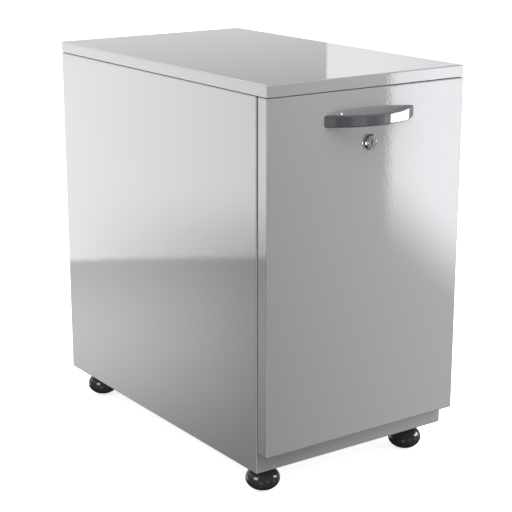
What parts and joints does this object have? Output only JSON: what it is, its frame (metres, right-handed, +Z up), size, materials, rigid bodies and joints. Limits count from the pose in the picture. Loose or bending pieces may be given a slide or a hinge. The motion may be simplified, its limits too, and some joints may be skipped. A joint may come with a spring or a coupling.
{
  "type": "mobile filing pedestal",
  "caption": "Steel filing pedestal on ball castors, with a flat overhanging top, a full-height pull-out file drawer, a bow handle and a cam lock.",
  "frame": {"origin": "on the floor, under the middle of the overall box, handle included", "axes": "+Z up, the drawer front faces -Y and the drawer pulls out along -Y, +X to the right of someone who looks at the front"},
  "size_m": [0.33, 0.58, 0.575],
  "materials": {
    "body_enamel": "gloss silver-grey enamel over steel",
    "drawer_enamel": "satin grey enamel over steel",
    "inner_zinc_steel": "zinc-plated sheet steel",
    "plated_fasteners": "bright zinc plate",
    "core_board": "raw particle board",
    "cast_weight": "black-painted iron",
    "bumper_rubber": "matt black rubber",
    "handle_gunmetal": "gloss dark gunmetal lacquer",
    "lock_chrome": "bright chrome plate",
    "castor_plastic": "gloss black moulding",
    "wheel_plastic": "hard black nylon"
  },
  "bodies": {
    "carcass": {"side_panel_left": "body_enamel", "side_panel_right": "body_enamel", "base_pan": "body_enamel", "back_panel": "body_enamel", "back_screws": "plated_fasteners", "upright_front_left": "inner_zinc_steel", "upright_front_right": "inner_zinc_steel", "upright_rear_left": "inner_zinc_steel", "upright_rear_right": "inner_zinc_steel", "top_rail_front": "inner_zinc_steel", "top_rail_rear": "inner_zinc_steel", "top_cover": "body_enamel", "top_board": "core_board", "lock_strike": "inner_zinc_steel", "slide_outer_left": "inner_zinc_steel", "slide_outer_right": "inner_zinc_steel", "post_rivets": "plated_fasteners", "counterweight": "cast_weight", "castor_stems": "plated_fasteners", "castor_nuts": "plated_fasteners"},
    "drawer": {"front_skin": "body_enamel", "front_board": "core_board", "front_closing_sheet": "drawer_enamel", "front_bumpers": "bumper_rubber", "front_screws": "plated_fasteners", "drawer_side_left": "drawer_enamel", "drawer_side_right": "drawer_enamel", "drawer_floor": "drawer_enamel", "drawer_back": "drawer_enamel", "drawer_rivets": "plated_fasteners", "front_stay_left": "drawer_enamel", "front_stay_right": "drawer_enamel", "pen_tray": "drawer_enamel", "hanging_rails": "inner_zinc_steel", "slide_inner_left": "inner_zinc_steel", "slide_inner_right": "inner_zinc_steel", "handle": "handle_gunmetal", "handle_screws": "plated_fasteners", "lock_rosette": "lock_chrome", "lock_barrel": "lock_chrome", "lock_nut": "plated_fasteners"},
    "lock": {"lock_core": "lock_chrome", "lock_cam": "inner_zinc_steel", "cam_screw": "plated_fasteners"},
    "slide_middles": {"slide_middle_left": "inner_zinc_steel", "slide_middle_right": "inner_zinc_steel"},
    "outer_cages": {"ball_cages_outer": "plated_fasteners"},
    "inner_cages": {"ball_cages_inner": "plated_fasteners"},
    "castor_front_left": {"castor_shell_front_left": "castor_plastic", "castor_axle_front_left": "plated_fasteners"},
    "wheel_front_left": {"castor_wheel_front_left": "wheel_plastic"},
    "castor_front_right": {"castor_shell_front_right": "castor_plastic", "castor_axle_front_right": "plated_fasteners"},
    "wheel_front_right": {"castor_wheel_front_right": "wheel_plastic"},
    "castor_rear_left": {"castor_shell_rear_left": "castor_plastic", "castor_axle_rear_left": "plated_fasteners"},
    "wheel_rear_left": {"castor_wheel_rear_left": "wheel_plastic"},
    "castor_rear_right": {"castor_shell_rear_right": "castor_plastic", "castor_axle_rear_right": "plated_fasteners"},
    "wheel_rear_right": {"castor_wheel_rear_right": "wheel_plastic"}
  },
  "joints": [
    {"name": "drawer_slide", "type": "slide", "parent": "carcass", "child": "drawer", "axis": [0, -1, 0], "range_m": [0, 0.44]},
    {"name": "slide_middle_travel", "type": "slide", "parent": "carcass", "child": "slide_middles", "axis": [0, -1, 0], "range_m": [0, 0.22]},
    {"name": "outer_cage_travel", "type": "slide", "parent": "carcass", "child": "outer_cages", "axis": [0, -1, 0], "range_m": [0, 0.11]},
    {"name": "inner_cage_travel", "type": "slide", "parent": "slide_middles", "child": "inner_cages", "axis": [0, -1, 0], "range_m": [0, 0.11]},
    {"name": "lock_turn", "type": "hinge", "parent": "drawer", "child": "lock", "pos_m": [0, -0.26, 0.4865], "axis": [0, -1, 0], "range_deg": [0, 90]},
    {"name": "swivel_front_left", "type": "hinge", "parent": "carcass", "child": "castor_front_left", "pos_m": [-0.129, -0.2, 0.03], "axis": [0, 0, 1], "continuous": true},
    {"name": "roll_front_left", "type": "hinge", "parent": "castor_front_left", "child": "wheel_front_left", "pos_m": [-0.129, -0.1975, 0.012], "axis": [1, 0, 0], "continuous": true},
    {"name": "swivel_front_right", "type": "hinge", "parent": "carcass", "child": "castor_front_right", "pos_m": [0.129, -0.2, 0.03], "axis": [0, 0, 1], "continuous": true},
    {"name": "roll_front_right", "type": "hinge", "parent": "castor_front_right", "child": "wheel_front_right", "pos_m": [0.129, -0.1975, 0.012], "axis": [1, 0, 0], "continuous": true},
    {"name": "swivel_rear_left", "type": "hinge", "parent": "carcass", "child": "castor_rear_left", "pos_m": [-0.129, 0.254, 0.03], "axis": [0, 0, 1], "continuous": true},
    {"name": "roll_rear_left", "type": "hinge", "parent": "castor_rear_left", "child": "wheel_rear_left", "pos_m": [-0.129, 0.2565, 0.012], "axis": [1, 0, 0], "continuous": true},
    {"name": "swivel_rear_right", "type": "hinge", "parent": "carcass", "child": "castor_rear_right", "pos_m": [0.129, 0.254, 0.03], "axis": [0, 0, 1], "continuous": true},
    {"name": "roll_rear_right", "type": "hinge", "parent": "castor_rear_right", "child": "wheel_rear_right", "pos_m": [0.129, 0.2565, 0.012], "axis": [1, 0, 0], "continuous": true}
  ],
  "couplings": [
    {"joint": "slide_middle_travel", "follows": "drawer_slide", "ratio": 0.5},
    {"joint": "outer_cage_travel", "follows": "drawer_slide", "ratio": 0.25},
    {"joint": "inner_cage_travel", "follows": "drawer_slide", "ratio": 0.25}
  ]
}
